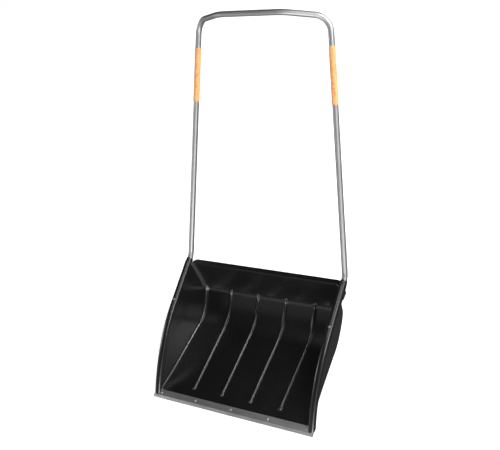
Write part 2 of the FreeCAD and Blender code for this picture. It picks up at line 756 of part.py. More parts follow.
def check_and_write(nodes):
    """Stop on any failed feature or shape, then write one STEP file for each piece."""
    doc.recompute()
    for item in doc.Objects:
        if "Invalid" in item.State or "Error" in item.State:
            raise RuntimeError("%s failed: %s" % (item.Name, item.State))
    os.makedirs("parts", exist_ok=True)
    for item in nodes:
        item.Label = item.Name
        shape = item.Shape
        if shape.isNull() or not shape.isValid() or len(shape.Solids) != 1:
            raise RuntimeError("%s is not one valid solid" % item.Name)
        print("%-20s volume %.0f mm3" % (item.Label, shape.Volume))
        shape.exportStep("parts/%s.step" % item.Label)


check_and_write(make_all())
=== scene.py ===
import math

import bpy
import numpy as np
from mathutils import Matrix, Vector


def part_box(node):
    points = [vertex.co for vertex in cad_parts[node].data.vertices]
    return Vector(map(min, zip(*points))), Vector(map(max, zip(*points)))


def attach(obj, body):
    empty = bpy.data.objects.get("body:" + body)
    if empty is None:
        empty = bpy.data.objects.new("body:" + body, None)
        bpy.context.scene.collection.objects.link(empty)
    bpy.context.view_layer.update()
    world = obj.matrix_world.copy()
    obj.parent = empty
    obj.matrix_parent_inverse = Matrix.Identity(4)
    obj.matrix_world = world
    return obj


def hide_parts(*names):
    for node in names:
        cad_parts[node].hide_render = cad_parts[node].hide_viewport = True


# A push snow scoop. The pan, tube, grips and collars are finer meshes in the place of their CAD
# solids. The cutting edge, rivets, bolts, washers and nuts keep the CAD shape. Lengths in the mesh
# code are in mm.

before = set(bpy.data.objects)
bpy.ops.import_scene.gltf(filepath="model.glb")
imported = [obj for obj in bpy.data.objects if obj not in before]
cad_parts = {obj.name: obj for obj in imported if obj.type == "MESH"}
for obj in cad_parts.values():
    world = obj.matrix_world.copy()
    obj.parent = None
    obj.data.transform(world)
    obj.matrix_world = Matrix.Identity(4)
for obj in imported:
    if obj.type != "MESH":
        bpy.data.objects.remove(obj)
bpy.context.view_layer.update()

MM = 0.001


def box_mm(node):
    """Lowest and highest corner of a CAD node, in millimetres."""
    low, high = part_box(node)
    return np.array(low) / MM, np.array(high) / MM


PAN_LOW, PAN_HIGH = box_mm("pan")
BOLT_LOW, BOLT_HIGH = box_mm("bolt_right")

# --- dimensions, in mm --------------------------------------------------------------

# Floor, bend, heel and rear wall, one after the other. Their radii are those of the inner face.
WALL = 4.5
FLOOR_END = 152.0
BEND = 200.0
HEEL = 45.0
TURN = math.radians(45)
REAR = math.radians(80)

# The side walls: half the inner width at the waist of the floor, how fast it widens in front of
# the waist and narrows behind it, and half the inner width at the height TOP_LEVEL.
WAIST_Y, WAIST_HALF = -40.0, 328.5
FRONT_TAPER, REAR_TAPER = 0.1125, 0.0571
TAPER_BLEND = 1.5
TOP_HALF, TOP_LEVEL = 347.5, 260.0
SIDE_LEAN = 0.995

# The fillet between floor and side walls in front, in the middle, at the rear and up the rear
# corners, how much rounder the outside is, and the rounding of the walls' top edge.
CORNER_FRONT, CORNER_MIDDLE, CORNER_REAR, CORNER_UPRIGHT = 8, 12, 17, 24
OUTER_CORNER = 7.5
SHELL_EDGE = 1.4

# The rails along the side walls: a straight run round the tube, then an arc down to the front.
RAIL_X = 0.5 * (BOLT_LOW[0] + BOLT_HIGH[0])
RAIL_RADIUS = 14.5
RAIL_SLOPE = math.radians(14.3)
RAIL_ARC_START, RAIL_ARC = 140.0, 700.0
RAIL_END = 327.5
RAIL_POWER = 2.15
RAIL_INSET, RAIL_THINNING = 4.0, 1.2
RAIL_EDGE = 1.2

# The rear rim with its turned-down skirt.
RIM_BACK = float(PAN_HIGH[1])
RIM_FRONT = 300.0
RIM_HALF = 345.0
RIM_CORNER = 28.0
RIM_TOP = 211.5
RIM_SHEET = 4.0
RIM_ROUND = 5.0
RIM_SHOULDER = 6.0
SKIRT_FOOT = 152.0
SKIRT_EDGE = 1.6

# Floor ribs, each with a flat nose in front and a round tip on the heel, and the skids below.
RIB_X = (65.0, 195.0)
RIB_START = -109.0 - FLOOR_END
RIB_END = BEND * TURN + HEEL * (math.radians(66) - TURN)
RIB_RADIUS, RIB_GROWTH = 4.8, 2.6
RIB_LIFT, RIB_SINK = 0.5, 0.3
NOSE_HALF = (7.2, 8.4, 5.8)
NOSE_SHIFT = 5.0
TIP_RADIUS, TIP_LIFT = 8.2, 1.0
SKID_FRONT, SKID_BACK = 120.0, 222.0
SKID_HALF, SKID_CORNER = 6.0, 14.0
SKID_EDGE, SKID_COVER = 1.5, 1.5

# Holes and seats for tube, collars and bolts, and the step for the cutting edge.
TUBE_FRONT = 115.0
TUBE_BORE, COLLAR_BORE = 11.15, 14.3
BOLT_Y, BOLT_Z = 160.0, 174.0
BOLT_HOLE = 3.3
SEAT_RADIUS, SEAT_LEVEL = 7.2, 12.5
PAN_FRONT = -178.9
STRIP_BACK, STRIP_STEP = -158.0, 2.75

# Fillets of what is joined to the pan, and the small rounding of its edges.
FILLET, RIB_FILLET, SKID_FILLET, TIP_FILLET = 2.5, 1.8, 2.0, 0.8
HOLE_EDGE, FINE_EDGE, FRONT_EDGE, FOOT_EDGE = 0.4, 0.3, 0.6, 0.8

# The handle's centre line turns at a knee behind the rails and at two corners of the bow.
KNEE_Y = 356.1
SHOULDER, BOW_CORNER = (283.5, 972.9, 935.5), (137.0, 922.4, 1001.8)
KNEE_RADIUS, SHOULDER_RADIUS, BOW_RADIUS = 60, 65, 110
TUBE_OUTER, TUBE_INNER = 10.98, 9.75
GRIP_START, GRIP_LENGTH = 634, 207.0
GRIP_OUTER, GRIP_INNER = 12.15, 11.03
GRIP_EDGE = 0.9
COLLAR_INNER = 11.12


# --- distance fields ----------------------------------------------------------------

def join(a, b, radius):
    """Union of two solids, with a hollow fillet between them."""
    u = np.maximum(radius - a, 0)
    v = np.maximum(radius - b, 0)
    return np.maximum(radius, np.minimum(a, b)) - np.hypot(u, v)


def meet(a, b, radius):
    """What two solids share, with a rounded edge."""
    u = np.maximum(radius + a, 0)
    v = np.maximum(radius + b, 0)
    return np.minimum(-radius, np.maximum(a, b)) + np.hypot(u, v)


def step(low, high, x):
    """A smooth rise from 0 to 1 while x goes from low to high."""
    t = np.clip((x - low) / (high - low), 0, 1)
    return t * t * (3 - 2 * t)


def floor_line(y, z):
    """Height over the inner face of floor and rear wall, and the way along it from the bend."""
    ay, az = y - FLOOR_END, WALL + BEND - z
    a = np.arctan2(ay, az)
    heel_y = FLOOR_END + (BEND - HEEL) * math.sin(TURN)
    heel_z = WALL + BEND - (BEND - HEEL) * math.cos(TURN)
    by, bz = y - heel_y, heel_z - z
    b = np.arctan2(by, bz)
    b = np.where(b < -math.pi / 2, b + 2 * math.pi, b)
    foot_y = heel_y + HEEL * math.sin(REAR)
    foot_z = heel_z - HEEL * math.cos(REAR)
    up_wall = (y - foot_y) * math.cos(REAR) + (z - foot_z) * math.sin(REAR)
    off_wall = (z - foot_z) * math.cos(REAR) - (y - foot_y) * math.sin(REAR)
    on_bend = (ay >= 0) & (a >= 0) & (a <= TURN)
    past = (ay > 0) & ~on_bend
    on_heel = past & (b <= REAR)
    on_wall = past & ~on_heel
    height = z - WALL + 0 * y
    way = ay + 0 * z
    height = np.where(on_bend, BEND - np.hypot(ay, az), height)
    way = np.where(on_bend, BEND * a, way)
    height = np.where(on_heel, HEEL - np.hypot(by, bz), height)
    way = np.where(on_heel, BEND * TURN + HEEL * (b - TURN), way)
    height = np.where(on_wall, off_wall, height)
    way = np.where(on_wall, BEND * TURN + HEEL * (REAR - TURN) + up_wall, way)
    return height, way


def rail_line(y, z):
    """Height over the rail's axis, and the way along it, seen from the side."""
    start_z = BOLT_Z + (RAIL_ARC_START - BOLT_Y) * math.tan(RAIL_SLOPE)
    dy, dz = y - RAIL_ARC_START, z - start_z
    along = dy * math.cos(RAIL_SLOPE) + dz * math.sin(RAIL_SLOPE)
    above = dz * math.cos(RAIL_SLOPE) - dy * math.sin(RAIL_SLOPE)
    centre_y = RAIL_ARC_START + RAIL_ARC * math.sin(RAIL_SLOPE)
    centre_z = start_z - RAIL_ARC * math.cos(RAIL_SLOPE)
    out = np.hypot(y - centre_y, z - centre_z)
    angle = np.arctan2(centre_y - y, z - centre_z) - RAIL_SLOPE
    curved = along < 0
    return np.where(curved, out - RAIL_ARC, above), np.where(curved, -RAIL_ARC * angle, along)


def inner_half(y, z):
    """Half the distance between the side walls' inner faces."""
    straight = WAIST_HALF - REAR_TAPER * (y - WAIST_Y)
    flare = (REAR_TAPER - FRONT_TAPER) * (y - WAIST_Y)
    foot = straight + TAPER_BLEND * np.logaddexp(0, flare / TAPER_BLEND)
    return foot + (TOP_HALF - foot) * z / TOP_LEVEL


def corner_radius(y, z):
    """Fillet between floor and side walls: wider towards the rear, widest up the rear corners."""
    floor = (CORNER_FRONT + (CORNER_MIDDLE - CORNER_FRONT) * step(-150, -40, y)
             + (CORNER_REAR - CORNER_MIDDLE) * step(170, 260, y))
    return floor + (CORNER_UPRIGHT - floor) * step(50, 130, z)


def round_corner(a, b, radius):
    """What a < radius and b < radius share, with a round corner about a = b = 0."""
    return np.hypot(np.maximum(a, 0), np.maximum(b, 0)) + np.minimum(np.maximum(a, b), 0) - radius


def rail_field(beside, above, along, past_end):
    """A side rail: slightly square in section, set inward and thinner towards the front."""
    inward = np.abs(beside + RAIL_INSET * step(10, -250, along))
    bead = (inward ** RAIL_POWER + np.abs(above) ** RAIL_POWER) ** (1 / RAIL_POWER)
    bead = bead - RAIL_RADIUS + RAIL_THINNING * step(-120, -330, along)
    return meet(bead, past_end + 0 * beside, RAIL_EDGE)


def rim_field(x, y, z):
    """The rear rim: a sheet over the back of the pan that turns down into a skirt."""
    outline = round_corner(x - (RIM_HALF - RIM_CORNER), y - (RIM_BACK - RIM_CORNER), RIM_CORNER)
    block = meet(z - RIM_TOP + 0 * x, outline, RIM_SHOULDER)
    sheet = np.abs(block + RIM_SHEET / 2) - RIM_SHEET / 2
    return meet(sheet, np.maximum(SKIRT_FOOT - z, RIM_FRONT - y) + 0 * x, SKIRT_EDGE)


def rib_field(across, height, way):
    """A floor rib with its nose and its tip; it grows thicker up the bend."""
    radius = RIB_RADIUS + RIB_GROWTH * step(-40, 170, way)
    past_end = np.maximum(np.maximum(RIB_START - way, way - RIB_END), 0)
    lift = height - RIB_LIFT + RIB_SINK * (radius - RIB_RADIUS)
    rib = np.sqrt(across ** 2 + lift ** 2 + past_end ** 2) - radius
    half_width, half_length, half_height = NOSE_HALF
    nose = np.sqrt((across / half_width) ** 2 + ((way - RIB_START + NOSE_SHIFT) / half_length) ** 2
                   + (height / half_height) ** 2)
    rib = join(rib, (nose - 1) * half_height, TIP_FILLET)
    tip = np.sqrt(across ** 2 + (way - RIB_END) ** 2 + (height - TIP_LIFT) ** 2) - TIP_RADIUS
    return join(rib, tip, TIP_FILLET)


def skid_field(across, y, z):
    """A heel skid: an upright plate with a rounded rear corner."""
    plate = round_corner(y - (SKID_BACK - SKID_CORNER), SKID_CORNER - z, SKID_CORNER)
    plate = np.maximum(plate, SKID_FRONT - y)
    return meet(plate + 0 * across, np.abs(across) - SKID_HALF, SKID_EDGE)


def pan_field(x, y, z):
    """Distance to the pan's surface, negative inside the plastic."""
    x = np.abs(x)
    height, way = floor_line(y, z)
    above, along = rail_line(y, z)
    side = (inner_half(y, z) - x) * SIDE_LEAN
    inner = corner_radius(y, z)
    hollow = meet(-height + 0 * x, -side, inner)
    outside = meet(-height - WALL + 0 * x, -side - WALL, inner + OUTER_CORNER)
    shell = meet(outside, np.maximum(above, z - RIM_TOP) + 0 * x, SHELL_EDGE)
    shell = meet(shell, -hollow, RIM_ROUND)

    beside = x - RAIL_X
    past_end = along - (RAIL_END - RAIL_ARC_START) / math.cos(RAIL_SLOPE)
    body = join(shell, rail_field(beside, above, along, past_end), FILLET)
    body = join(body, meet(rim_field(x, y, z), -hollow, RIM_ROUND), FILLET)
    for place in RIB_X:
        skid = np.maximum(skid_field(x - place, y, z), SKID_COVER - hollow)
        body = join(body, rib_field(x - place, height, way), RIB_FILLET)
        body = join(body, skid, SKID_FILLET)

    off_axis = np.hypot(beside, above)
    before_tube = (TUBE_FRONT - RAIL_ARC_START) / math.cos(RAIL_SLOPE) - along
    tube_hole = np.maximum(off_axis - TUBE_BORE, before_tube)
    collar_hole = np.maximum(off_axis - COLLAR_BORE, -past_end)
    body = meet(body, -np.minimum(tube_hole, collar_hole), HOLE_EDGE)
    off_bolt = np.hypot(beside, y - BOLT_Y)
    body = meet(body, -np.maximum(off_bolt - SEAT_RADIUS, BOLT_Z + SEAT_LEVEL - z), HOLE_EDGE)
    body = meet(body, -np.maximum(off_bolt - SEAT_RADIUS, z - BOLT_Z + SEAT_LEVEL), HOLE_EDGE)
    body = meet(body, -(off_bolt - BOLT_HOLE), FINE_EDGE)
    body = meet(body, -z + 0 * x, FOOT_EDGE)
    body = meet(body, PAN_FRONT - y + 0 * x, FRONT_EDGE)
    return meet(body, -np.maximum(y - STRIP_BACK, z - STRIP_STEP) + 0 * x, FINE_EDGE)


# --- meshing a distance field -------------------------------------------------------

CORNERS = [(i, j, k) for i in (0, 1) for j in (0, 1) for k in (0, 1)]
EDGES = [(a, b) for a in range(8) for b in range(a + 1, 8)
         if sum(p != q for p, q in zip(CORNERS[a], CORNERS[b])) == 1]


def field_on_grid(field, xs, ys, zs):
    """The field on a grid, worked out in slabs along X."""
    out = np.empty((len(xs), len(ys), len(zs)), np.float32)
    y, z = ys[None, :, None], zs[None, None, :]
    slab = 8
    for first in range(0, len(xs), slab):
        part = xs[first:first + slab, None, None]
        out[first:first + slab] = field(part, y, z)
    return out


def crossing_means(values, cells):
    """Where each cell's edges cross the surface on average, in grid steps from its first corner."""
    at = np.stack([values[cells[0] + i, cells[1] + j, cells[2] + k] for i, j, k in CORNERS], 1)
    total = np.zeros((len(at), 3))
    hits = np.zeros(len(at))
    for a, b in EDGES:
        crossing = (at[:, a] < 0) != (at[:, b] < 0)
        share = at[:, a] / np.where(crossing, at[:, a] - at[:, b], 1)
        start, end = np.array(CORNERS[a]), np.array(CORNERS[b])
        total += np.where(crossing[:, None], start + share[:, None] * (end - start), 0)
        hits += crossing
    return total / hits[:, None]


def quads_between(inside, number):
    """An outward quad of numbered cells round every grid edge that crosses the surface."""
    quads = []
    for axis in range(3):
        lower, upper = [slice(0, None)] * 3, [slice(0, None)] * 3
        lower[axis], upper[axis] = slice(0, -1), slice(1, None)
        start = np.nonzero(inside[tuple(lower)] != inside[tuple(upper)])
        first, second = (n for n in range(3) if n != axis)
        keep = (start[first] >= 1) & (start[second] >= 1)
        start = [s[keep] for s in start]
        ring = []
        for da, db in ((-1, -1), (0, -1), (0, 0), (-1, 0)):
            index = list(start)
            index[first] = start[first] + da
            index[second] = start[second] + db
            ring.append(number[tuple(index)])
        ring = np.stack(ring, 1)
        outward = inside[tuple(start)]
        if axis == 1:
            outward = ~outward
        quads.append(np.where(outward[:, None], ring, ring[:, ::-1]))
    return np.concatenate(quads)


def half_surface(field, high, low, pitch):
    """Points and quads of the surface for x >= 0, and which points lie in the middle plane."""
    xs = (np.arange(-1, int(high[0] / pitch) + 3) + 0.5) * pitch
    ys = np.arange(low[1] - 2 * pitch, high[1] + 3 * pitch, pitch)
    zs = np.arange(low[2] - 2 * pitch, high[2] + 3 * pitch, pitch)
    values = field_on_grid(field, xs, ys, zs)
    inside = values < 0
    nx, ny, nz = (n - 1 for n in values.shape)
    count = sum(inside[i:i + nx, j:j + ny, k:k + nz].astype(np.int8) for i, j, k in CORNERS)
    cells = np.nonzero((count > 0) & (count < 8))
    number = np.full((nx, ny, nz), -1, np.int64)
    number[cells] = np.arange(len(cells[0]))
    base = np.stack([xs[cells[0]], ys[cells[1]], zs[cells[2]]], 1)
    points = base + crossing_means(values, cells) * pitch
    middle = cells[0] == 0
    points[middle, 0] = 0
    return points, quads_between(inside, number), middle


def gradient(field, points):
    """The field at the points and its slope there, by central differences."""
    nudge = 0.02
    x, y, z = points.T
    here = field(x, y, z)
    slope = np.stack([field(x + nudge, y, z) - field(x - nudge, y, z),
                      field(x, y + nudge, z) - field(x, y - nudge, z),
                      field(x, y, z + nudge) - field(x, y, z - nudge)], 1) / (2 * nudge)
    return here, slope


def settle(field, points, middle, pitch, rounds=4):
    """Moves the points onto the surface along the field's slope, in steps of limited length."""
    least_size, longest = 0.2, 0.6 * pitch
    for _ in range(rounds):
        here, slope = gradient(field, points)
        size = np.maximum((slope ** 2).sum(1), least_size)
        move = -(here / size)[:, None] * slope
        length = np.linalg.norm(move, axis=1)
        move *= np.minimum(1, longest / np.maximum(length, 1e-9))[:, None]
        points = points + move
        points[middle, 0] = 0
    return points


def mirrored(points, quads, middle):
    """The whole surface from its half for x >= 0."""
    other = np.arange(len(points))
    other[~middle] = len(points) + np.arange((~middle).sum())
    flipped = points[~middle] * np.array([-1, 1, 1])
    return np.concatenate([points, flipped]), np.concatenate([quads, other[quads[:, ::-1]]])


def new_object(name, points, faces, normals=None):
    """A smooth mesh object from points in mm."""
    mesh = bpy.data.meshes.new(name)
    points = np.asarray(points, float) * MM
    faces = np.asarray(faces, np.int64)
    mesh.vertices.add(len(points))
    mesh.vertices.foreach_set("co", points.ravel())
    width = faces.shape[1]
    mesh.loops.add(faces.size)
    mesh.loops.foreach_set("vertex_index", faces.ravel())
    mesh.polygons.add(len(faces))
    mesh.polygons.foreach_set("loop_start", np.arange(len(faces)) * width)
    mesh.polygons.foreach_set("loop_total", np.full(len(faces), width))
    mesh.update(calc_edges=True)
    mesh.validate()
    mesh.polygons.foreach_set("use_smooth", np.ones(len(mesh.polygons), bool))
    if normals is not None:
        mesh.normals_split_custom_set_from_vertices(normals)
    item = bpy.data.objects.new(name, mesh)
    bpy.context.scene.collection.objects.link(item)
    return item


def finish_piece(item, slot, material, *nodes):
    """Gives an object its material and body, and hides the CAD nodes it stands for."""
    item.data.materials.append(material)
    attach(item, "root")
    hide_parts(*nodes)


# --- materials ----------------------------------------------------------------------

class Shader:
    """A Principled material that is built node by node."""

    def __init__(self, name, **inputs):
        self.material = bpy.data.materials.new(name)
        self.material.use_nodes = True
        self.tree = self.material.node_tree
        self.surface = self.tree.nodes["Principled BSDF"]
        for key, value in inputs.items():
            self.surface.inputs[key.replace("_", " ")].default_value = value

    def add(self, kind, **settings):
        node = self.tree.nodes.new(kind)
        for key, value in settings.items():
            setattr(node, key, value)
        return node

    def link(self, source, target):
        self.tree.links.new(source, target)

    def place(self, scale=(1, 1, 1), source="Object"):
        """The point being shaded, in metres, stretched by a scale."""
        coordinates = self.add("ShaderNodeTexCoord")
        mapping = self.add("ShaderNodeMapping")
        mapping.inputs["Scale"].default_value = scale
        self.link(coordinates.outputs[source], mapping.inputs["Vector"])
        return mapping.outputs["Vector"]

    def noise(self, vector, scale, detail=3.0, roughness=0.5):
        node = self.add("ShaderNodeTexNoise")
        node.inputs["Scale"].default_value = scale
        node.inputs["Detail"].default_value = detail
        node.inputs["Roughness"].default_value = roughness
        self.link(vector, node.inputs["Vector"])
        return node.outputs["Fac"]

    def ramp(self, factor, *stops):
        """A two-stop ramp; each stop is (position, grey level or colour)."""
        node = self.add("ShaderNodeValToRGB")
        for element, (position, colour) in zip(node.color_ramp.elements, stops):
            element.position = position
            element.color = (*colour, 1) if isinstance(colour, tuple) else (colour,) * 3 + (1,)
        self.link(factor, node.inputs["Fac"])
        return node.outputs["Color"]

    def multiply(self, first, second):
        """The product of two colour outputs."""
        node = self.add("ShaderNodeMix", data_type="RGBA", blend_type="MULTIPLY")
        node.inputs["Factor"].default_value = 1
        self.link(first, node.inputs["A"])
        self.link(second, node.inputs["B"])
        return node.outputs["Result"]

    def bump(self, *layers):
        """Chained bumps; each layer is (height output, distance in m, strength)."""
        last = None
        for height, distance, strength in layers:
            node = self.add("ShaderNodeBump")
            node.inputs["Distance"].default_value = distance
            node.inputs["Strength"].default_value = strength
            self.link(height, node.inputs["Height"])
            if last:
                self.link(last, node.inputs["Normal"])
            last = node.outputs["Normal"]
        self.link(last, self.surface.inputs["Normal"])

    def colour(self, output):
        self.link(output, self.surface.inputs["Base Color"])

    def rough(self, output):
        self.link(output, self.surface.inputs["Roughness"])


def black_plastic(name):
    """Moulded black polyethylene: fine grain, faint clouding, light scuffs along the floor."""
    shader = Shader(name, Specular_IOR_Level=0.5)
    fine = shader.noise(shader.place(), 900, 2)
    clouds = shader.noise(shader.place(), 9, 4)
    scuffs = shader.noise(shader.place((260, 5, 260)), 1.0, 3, 0.6)
    tone = shader.ramp(clouds, (0.1, (0.0033, 0.0031, 0.0035)), (0.9, (0.0047, 0.0044, 0.0048)))
    marks = shader.ramp(scuffs, (0.66, 0.0), (0.8, 1.0))
    faint = shader.add("ShaderNodeMath", operation="MULTIPLY")
    faint.inputs[1].default_value = 0.12
    shader.link(marks, faint.inputs[0])
    scuffed = shader.add("ShaderNodeMix", data_type="RGBA")
    scuffed.inputs["B"].default_value = (0.02, 0.02, 0.0205, 1)
    shader.link(faint.outputs[0], scuffed.inputs["Factor"])
    shader.link(tone, scuffed.inputs["A"])
    shader.colour(scuffed.outputs["Result"])
    shader.rough(shader.ramp(clouds, (0.1, 0.225), (0.9, 0.275)))
    shader.bump((fine, 0.00006, 0.3))
    return shader.material


def satin_tube(name):
    """Drawn aluminium tube: fine lines along its length."""
    shader = Shader(name, Metallic=1.0)
    lines = shader.noise(shader.place((900, 14, 1), "UV"), 1.0, 4, 0.6)
    soft = shader.noise(shader.place(), 14, 3)
    shader.colour(shader.ramp(lines, (0.3, (0.255, 0.257, 0.261)), (0.7, (0.33, 0.332, 0.337))))
    shader.rough(shader.ramp(soft, (0.3, 0.45), (0.7, 0.52)))
    shader.bump((lines, 0.00006, 0.25))
    return shader.material


def brushed_steel(name):
    """Galvanised sheet brushed along X, with dull patches and a painted highlight that makes the
    front lip brighter.
    """
    shader = Shader(name, Metallic=1.0)
    lines = shader.noise(shader.place((6, 1600, 1600)), 1.0, 4, 0.65)
    patches = shader.noise(shader.place((1, 3, 3)), 11, 4)
    tone = shader.ramp(lines, (0.3, (0.26, 0.26, 0.26)), (0.7, (0.45, 0.45, 0.444)))
    dull = shader.ramp(patches, (0.35, (0.8, 0.8, 0.79)), (0.7, (1.0, 1.0, 1.0)))
    where = shader.add("ShaderNodeSeparateXYZ")
    shader.link(shader.add("ShaderNodeNewGeometry").outputs["Position"], where.inputs["Vector"])
    # Painted highlight: the colour of the front lip is scaled up to 1.8 times, standing in for
    # light caught on the lip.
    lip_highlight = shader.add("ShaderNodeMapRange")
    lip_back, lip_front = -0.1785, -0.1797
    for key, number in {"From Min": lip_back, "From Max": lip_front,
                        "To Min": 1, "To Max": 1.8}.items():
        lip_highlight.inputs[key].default_value = number
    shader.link(where.outputs["Y"], lip_highlight.inputs["Value"])
    shader.colour(shader.multiply(tone, shader.multiply(dull, lip_highlight.outputs["Result"])))
    shader.rough(shader.ramp(lines, (0.25, 0.34), (0.75, 0.52)))
    shader.bump((lines, 0.0001, 0.35))
    return shader.material


def zinc(name, shade):
    """Zinc-plated fastener with a faint cloudy skin."""
    shader = Shader(name, Metallic=1.0)
    skin = shader.noise(shader.place(), 420, 3)
    shader.colour(shader.ramp(skin, (0.3, shade * 0.86), (0.7, shade)))
    shader.rough(shader.ramp(skin, (0.3, 0.42), (0.7, 0.55)))
    shader.bump((skin, 0.0001, 0.2))
    return shader.material


def orange_grip(name):
    """Orange sleeve with a slightly mottled, matt skin."""
    shader = Shader(name, Specular_IOR_Level=0.35)
    mottle = shader.noise(shader.place(), 95, 4, 0.6)
    pores = shader.noise(shader.place(), 1300, 2)
    streaks = shader.noise(shader.place((26, 5, 1), "UV"), 1.0, 3, 0.6)
    both = shader.add("ShaderNodeMath", operation="ADD")
    shader.link(mottle, both.inputs[0])
    shader.link(streaks, both.inputs[1])
    shader.colour(shader.ramp(both.outputs[0], (0.8, (0.32, 0.115, 0.025)),
                              (1.0, (0.50, 0.24, 0.09))))
    shader.rough(shader.ramp(mottle, (0.3, 0.48), (0.7, 0.6)))
    shader.bump((mottle, 0.0004, 0.25), (pores, 0.0001, 0.4))
    return shader.material


# --- swept and turned pieces --------------------------------------------------------

def rounded_path(corners, radii, turn_step=math.radians(3), run_step=12.0):
    """Points along straight runs joined by tangent arcs."""
    corners = [np.array(c, float) for c in corners]
    points = [corners[0]]

    def run_to(target):
        gap = target - points[-1]
        parts = max(1, int(np.linalg.norm(gap) / run_step))
        first = points[-1]
        for n in range(1, parts + 1):
            points.append(first + gap * n / parts)

    for before, here, after, radius in zip(corners, corners[1:], corners[2:], radii):
        back = (before - here) / np.linalg.norm(before - here)
        ahead = (after - here) / np.linalg.norm(after - here)
        half = 0.5 * math.acos(float(np.clip(back @ ahead, -1, 1)))
        reach = radius / math.tan(half)
        centre = here + (back + ahead) / np.linalg.norm(back + ahead) * radius / math.sin(half)
        start, end = here + back * reach, here + ahead * reach
        run_to(start)
        a, b = start - centre, end - centre
        sweep = math.pi - 2 * half
        parts = max(2, int(sweep / turn_step))
        for n in range(1, parts + 1):
            t = sweep * n / parts
            points.append(centre + (a * math.sin(sweep - t) + b * math.sin(t)) / math.sin(sweep))
        points[-1] = end
    run_to(corners[-1])
    return np.array(points)


def side_vectors(points):
    """Two vectors square to the path at each of its points, carried along without twist."""
    ahead = np.gradient(points, axis=0)
    ahead /= np.linalg.norm(ahead, axis=1)[:, None]
    side = np.cross(ahead[0], (0, 0, 1.0))
    side /= np.linalg.norm(side)
    sides = []
    for direction in ahead:
        side = side - direction * (side @ direction)
        side /= np.linalg.norm(side)
        sides.append(side)
    sides = np.array(sides)
    return sides, np.cross(ahead, sides)


def there_and_back(rows):
    """Rows in their order, then in reverse: out along the outer skin and back along the inner."""
    return np.concatenate([rows, rows[::-1]])


def ring_mesh(name, centres, radii, side, up, around=64):
    """Rings of points joined by quads, the last ring to the first; UV = (turn, metres along)."""
    angle = np.arange(around) * 2 * math.pi / around
    ring = (np.cos(angle)[None, :, None] * side[:, None, :] +
            np.sin(angle)[None, :, None] * up[:, None, :])
    points = centres[:, None, :] + radii[:, None, None] * ring
    rows = len(centres)
    i, j = np.meshgrid(np.arange(rows), np.arange(around), indexing="ij")
    i, j = i.ravel(), j.ravel()
    ahead, turn = (i + 1) % rows, (j + 1) % around
    faces = np.stack([i * around + j, i * around + turn, ahead * around + turn,
                      ahead * around + j], 1)
    item = new_object(name, points.reshape(-1, 3), faces)
    gaps = np.linalg.norm(np.diff(centres, axis=0), axis=1) + np.abs(np.diff(radii))
    travel = np.concatenate([[0], np.cumsum(gaps)]) * MM
    travel = np.append(travel, travel[-1] + 0.001)
    uv = item.data.uv_layers.new(name="along")
    corner_u = np.stack([j, j + 1, j + 1, j], 1) / around
    corner_v = np.stack([travel[i], travel[i], travel[i + 1], travel[i + 1]], 1)
    uv.data.foreach_set("uv", np.stack([corner_u, corner_v], 2).astype(np.float32).ravel())
    return item


def turned(name, base, along, outline):
    """A closed shape turned about an axis; outline = (distance along, radius) pairs."""
    along = np.array(along, float) / np.linalg.norm(along)
    side = np.cross(along, (1.0, 0, 0))
    side /= np.linalg.norm(side)
    up = np.cross(along, side)
    outline = np.array(outline, float)
    centres = np.array(base, float) + outline[:, :1] * along
    rows = len(outline)
    return ring_mesh(name, centres, outline[:, 1], np.tile(side, (rows, 1)),
                     np.tile(up, (rows, 1)))


def rail_point(y):
    """The point of the right rail's straight axis at y."""
    return RAIL_X, y, BOLT_Z + (y - BOLT_Y) * math.tan(RAIL_SLOPE)


def handle_corners():
    """Corners of the handle's centre line, from the left front end to the right one."""
    right = [rail_point(TUBE_FRONT), rail_point(KNEE_Y), SHOULDER, BOW_CORNER]
    left = [(-x, y, z) for x, y, z in right]
    return left + right[::-1]


def make_tube():
    radii = [KNEE_RADIUS, SHOULDER_RADIUS, BOW_RADIUS]
    points = rounded_path(handle_corners(), radii + radii[::-1])
    side, up = side_vectors(points)
    rows = len(points)
    radii = np.concatenate([np.full(rows, TUBE_OUTER), np.full(rows, TUBE_INNER)])
    item = ring_mesh("tube_shell", there_and_back(points), radii, there_and_back(side),
                     there_and_back(up), around=72)
    finish_piece(item, "tube_metal", satin_tube("satin_aluminium"), "handle_tube")


def make_grips(material):
    """Sleeves with rounded ends and a faint unevenness along their length."""
    corners = [np.array(c) for c in handle_corners()]
    quarter_turn = [n / 6 * math.pi / 2 for n in range(7)]
    edge_centre = GRIP_OUTER - 1.0
    steps = 70
    for side, (low, high) in {"left": (1, 2), "right": (-2, -3)}.items():
        along = corners[high] - corners[low]
        along = along / np.linalg.norm(along)
        base = corners[low] + along * GRIP_START
        outline = [(0.3, GRIP_INNER)]
        for t in quarter_turn:
            outline.append((GRIP_EDGE - GRIP_EDGE * math.cos(t),
                            edge_centre + GRIP_EDGE * math.sin(t)))
        for n in range(1, steps):
            distance = GRIP_EDGE + (GRIP_LENGTH - 2 * GRIP_EDGE) * n / steps
            swell = 0.05 * math.sin(n * 1.7) + 0.04 * math.sin(n * 0.53 + 1)
            outline.append((distance, GRIP_OUTER - 0.1 + swell))
        for t in quarter_turn:
            outline.append((GRIP_LENGTH - GRIP_EDGE + GRIP_EDGE * math.sin(t),
                            edge_centre + GRIP_EDGE * math.cos(t)))
        outline.append((GRIP_LENGTH - 0.3, GRIP_INNER))
        item = turned("grip_sleeve_" + side, base, along, outline)
        finish_piece(item, "grip_orange", material, "grip_" + side)


